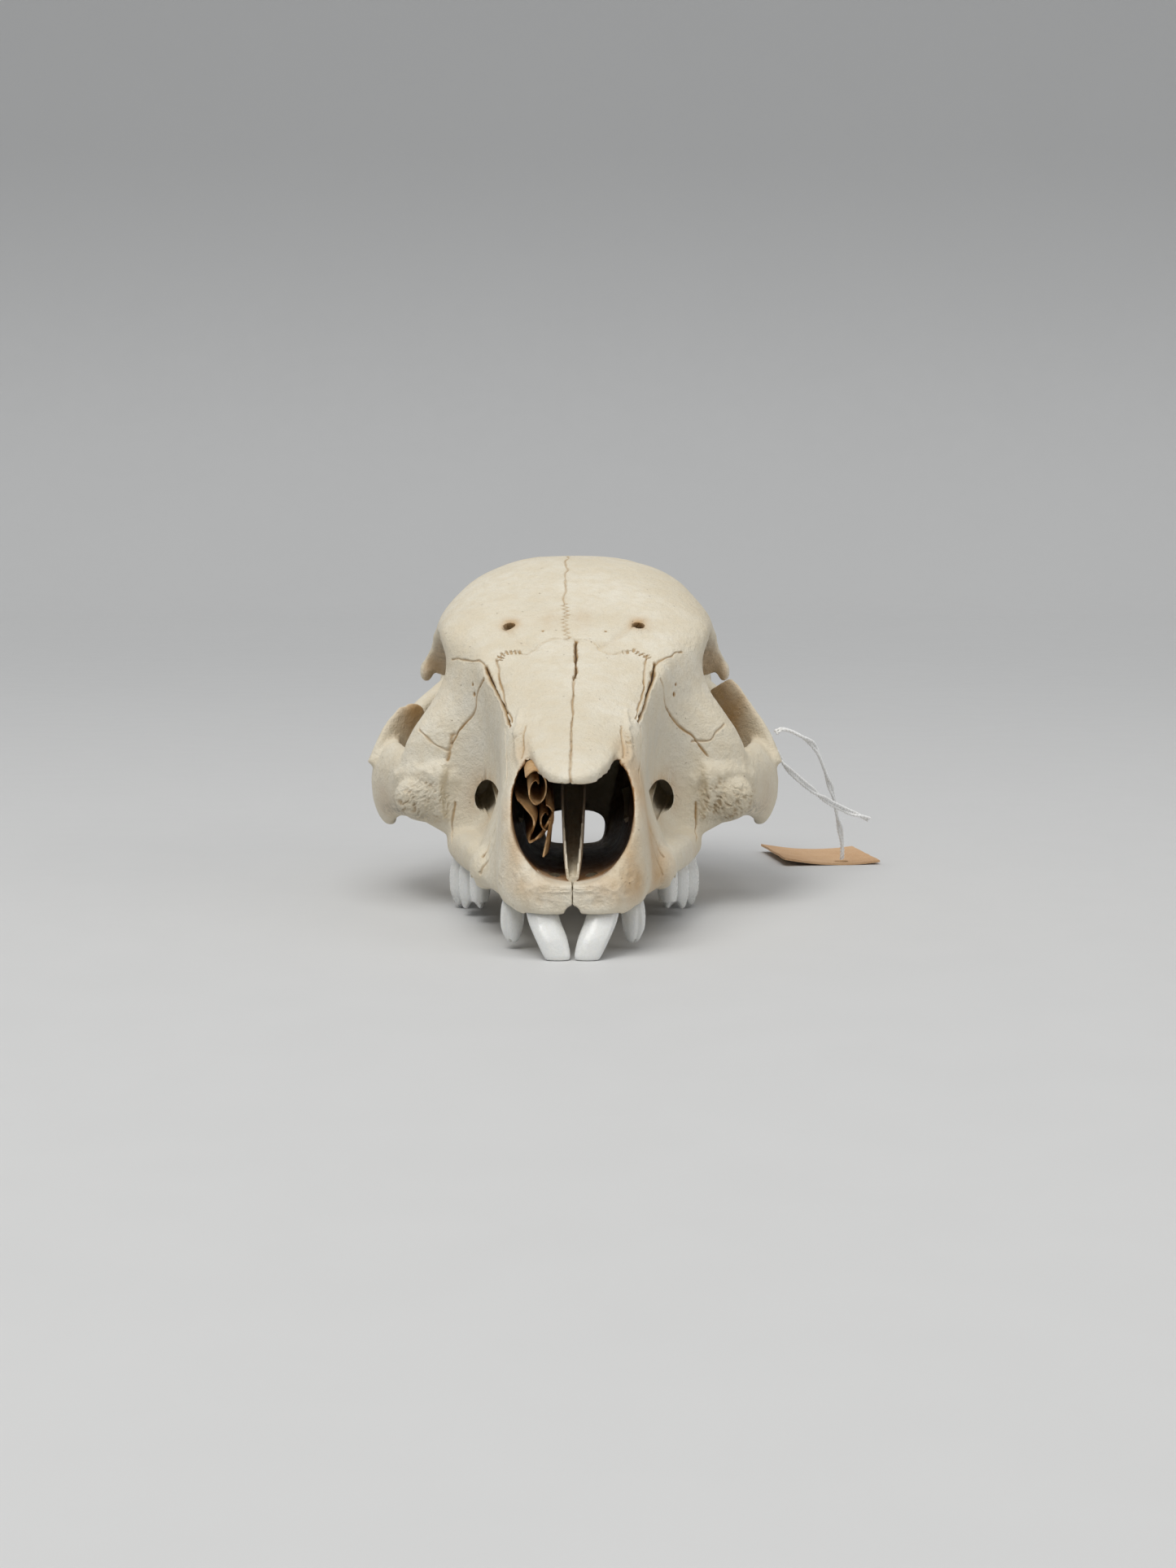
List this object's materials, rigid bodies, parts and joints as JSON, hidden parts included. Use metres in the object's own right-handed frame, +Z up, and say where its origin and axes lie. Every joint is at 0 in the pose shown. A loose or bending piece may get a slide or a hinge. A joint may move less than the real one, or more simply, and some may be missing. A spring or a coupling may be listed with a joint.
{
  "type": "feral piglet skull",
  "caption": "Skull of a young feral pig without its lower jaw, standing on its front teeth and ear processes, with a bare card tag on a thread.",
  "frame": {"origin": "bottom centre of the skull's box, on the surface that it stands on; the tag string, its ends and the tag are not counted", "axes": "+Y from the snout to the back of the head, +Z up, +X to the viewer's right when the snout faces the viewer, which is the animal's left"},
  "size_m": [0.1054, 0.1422, 0.066],
  "materials": {
    "bone": "dry ivory bone with tan stains",
    "enamel": "smooth cool white milk teeth",
    "thread": "twisted white cotton",
    "card": "bare buff card"
  },
  "bodies": {
    "root": {"cranium": "bone", "incisor_1_left": "enamel", "incisor_1_right": "enamel", "incisor_2_left": "enamel", "incisor_2_right": "enamel", "premolar_2_left": "enamel", "premolar_2_right": "enamel", "premolar_3_left": "enamel", "premolar_3_right": "enamel", "premolar_4_left": "enamel", "premolar_4_right": "enamel", "string_loop": "thread", "tag_string": "thread", "string_ends": "thread", "paper_tag": "card"}
  },
  "joints": []
}
